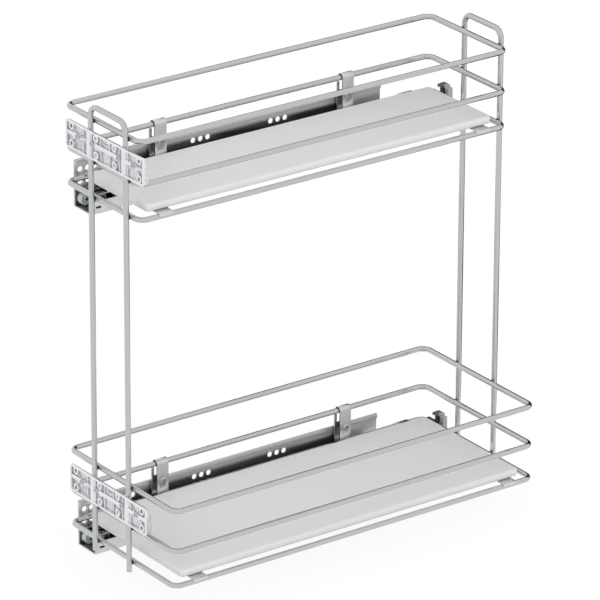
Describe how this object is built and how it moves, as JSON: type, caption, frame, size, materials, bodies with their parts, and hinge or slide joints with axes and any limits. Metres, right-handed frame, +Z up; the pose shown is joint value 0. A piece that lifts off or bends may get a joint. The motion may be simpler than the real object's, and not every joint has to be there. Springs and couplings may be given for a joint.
{
  "type": "pull-out cabinet basket",
  "caption": "Two-tier wire basket with shelf boards that pulls out of a narrow kitchen base cabinet on side-mounted roller slides, with brackets for the cabinet's front panel.",
  "frame": {"origin": "on the cabinet's side panel, at the centre of the lower slide's front group of fixing holes", "axes": "+X out of the side panel into the cabinet, -Y towards the cabinet's front (the way the basket pulls out), +Z up"},
  "size_m": [0.2108, 0.504, 0.5367],
  "materials": {
    "chrome_wire": "bright chrome-plated wire",
    "zinc_steel": "zinc-plated sheet steel",
    "hanger_steel": "satin nickel-plated sheet steel",
    "board": "light grey satin laminate",
    "casting": "bright plated die casting",
    "nylon": "off-white nylon",
    "dark_plastic": "dark grey moulded plastic",
    "screw_steel": "zinc-plated screws and rivets"
  },
  "bodies": {
    "cabinet_rails": {"upper_rail_plate": "zinc_steel", "lower_rail_plate": "zinc_steel", "upper_rail_channel": "zinc_steel", "lower_rail_channel": "zinc_steel", "rail_axles": "screw_steel"},
    "basket": {"upper_top_ring": "chrome_wire", "upper_middle_ring": "chrome_wire", "upper_bottom_ring": "chrome_wire", "lower_top_ring": "chrome_wire", "lower_middle_ring": "chrome_wire", "lower_bottom_ring": "chrome_wire", "front_upright_loop": "chrome_wire", "rear_upright_loop": "chrome_wire", "upper_board_clips": "chrome_wire", "lower_board_clips": "chrome_wire", "upper_front_hanger": "hanger_steel", "upper_rear_hanger": "hanger_steel", "lower_front_hanger": "hanger_steel", "lower_rear_hanger": "hanger_steel", "hanger_screws": "screw_steel", "upper_front_bracket": "casting", "lower_front_bracket": "casting", "upper_bracket_clamps": "zinc_steel", "lower_bracket_clamps": "zinc_steel", "upper_clamp_screws": "screw_steel", "lower_clamp_screws": "screw_steel", "upper_runner": "zinc_steel", "lower_runner": "zinc_steel", "upper_rear_buffer": "dark_plastic", "lower_rear_buffer": "dark_plastic", "runner_axles": "screw_steel"},
    "upper_middle_rail": {"upper_middle_rail": "zinc_steel", "upper_middle_axles": "screw_steel"},
    "upper_rail_roller": {"upper_rail_roller": "nylon"},
    "upper_middle_front_roller": {"upper_middle_front_roller": "nylon"},
    "upper_middle_rear_roller": {"upper_middle_rear_roller": "nylon"},
    "upper_runner_roller": {"upper_runner_roller": "nylon"},
    "upper_board": {"upper_board": "board"},
    "lower_middle_rail": {"lower_middle_rail": "zinc_steel", "lower_middle_axles": "screw_steel"},
    "lower_rail_roller": {"lower_rail_roller": "nylon"},
    "lower_middle_front_roller": {"lower_middle_front_roller": "nylon"},
    "lower_middle_rear_roller": {"lower_middle_rear_roller": "nylon"},
    "lower_runner_roller": {"lower_runner_roller": "nylon"},
    "lower_board": {"lower_board": "board"}
  },
  "joints": [
    {"name": "basket_pull", "type": "slide", "parent": "cabinet_rails", "child": "basket", "axis": [0, -1, 0], "range_m": [0, 0.4]},
    {"name": "upper_middle_slide", "type": "slide", "parent": "cabinet_rails", "child": "upper_middle_rail", "axis": [0, -1, 0], "range_m": [0, 0.2]},
    {"name": "upper_rail_roller_spin", "type": "hinge", "parent": "cabinet_rails", "child": "upper_rail_roller", "pos_m": [0.01, -0.008, 0.36405], "axis": [1, 0, 0], "range_deg": [0, 1571]},
    {"name": "upper_middle_front_roller_spin", "type": "hinge", "parent": "upper_middle_rail", "child": "upper_middle_front_roller", "pos_m": [0.01, 0.004, 0.36545], "axis": [1, 0, 0], "range_deg": [0, 1880]},
    {"name": "upper_middle_rear_roller_spin", "type": "hinge", "parent": "upper_middle_rail", "child": "upper_middle_rear_roller", "pos_m": [0.01, 0.366, 0.36335], "axis": [1, 0, 0], "range_deg": [0, 1571]},
    {"name": "upper_runner_roller_spin", "type": "hinge", "parent": "basket", "child": "upper_runner_roller", "pos_m": [0.01, 0.363, 0.36525], "axis": [1, 0, 0], "range_deg": [0, 1880]},
    {"name": "upper_board_lift", "type": "slide", "parent": "basket", "child": "upper_board", "axis": [0, 0, 1], "range_m": [0, 0.11]},
    {"name": "lower_middle_slide", "type": "slide", "parent": "cabinet_rails", "child": "lower_middle_rail", "axis": [0, -1, 0], "range_m": [0, 0.2]},
    {"name": "lower_rail_roller_spin", "type": "hinge", "parent": "cabinet_rails", "child": "lower_rail_roller", "pos_m": [0.01, -0.008, -0.03095], "axis": [1, 0, 0], "range_deg": [0, 1571]},
    {"name": "lower_middle_front_roller_spin", "type": "hinge", "parent": "lower_middle_rail", "child": "lower_middle_front_roller", "pos_m": [0.01, 0.004, -0.02955], "axis": [1, 0, 0], "range_deg": [0, 1880]},
    {"name": "lower_middle_rear_roller_spin", "type": "hinge", "parent": "lower_middle_rail", "child": "lower_middle_rear_roller", "pos_m": [0.01, 0.366, -0.03165], "axis": [1, 0, 0], "range_deg": [0, 1571]},
    {"name": "lower_runner_roller_spin", "type": "hinge", "parent": "basket", "child": "lower_runner_roller", "pos_m": [0.01, 0.363, -0.02975], "axis": [1, 0, 0], "range_deg": [0, 1880]},
    {"name": "lower_board_lift", "type": "slide", "parent": "basket", "child": "lower_board", "axis": [0, 0, 1], "range_m": [0, 0.11]}
  ],
  "couplings": [
    {"joint": "upper_middle_slide", "follows": "basket_pull", "ratio": 0.5},
    {"joint": "upper_rail_roller_spin", "follows": "basket_pull", "rad_per_m": 68.493},
    {"joint": "upper_middle_front_roller_spin", "follows": "basket_pull", "rad_per_m": 81.967},
    {"joint": "upper_middle_rear_roller_spin", "follows": "basket_pull", "rad_per_m": 68.493},
    {"joint": "upper_runner_roller_spin", "follows": "basket_pull", "rad_per_m": 81.967},
    {"joint": "lower_middle_slide", "follows": "basket_pull", "ratio": 0.5},
    {"joint": "lower_rail_roller_spin", "follows": "basket_pull", "rad_per_m": 68.493},
    {"joint": "lower_middle_front_roller_spin", "follows": "basket_pull", "rad_per_m": 81.967},
    {"joint": "lower_middle_rear_roller_spin", "follows": "basket_pull", "rad_per_m": 68.493},
    {"joint": "lower_runner_roller_spin", "follows": "basket_pull", "rad_per_m": 81.967}
  ]
}
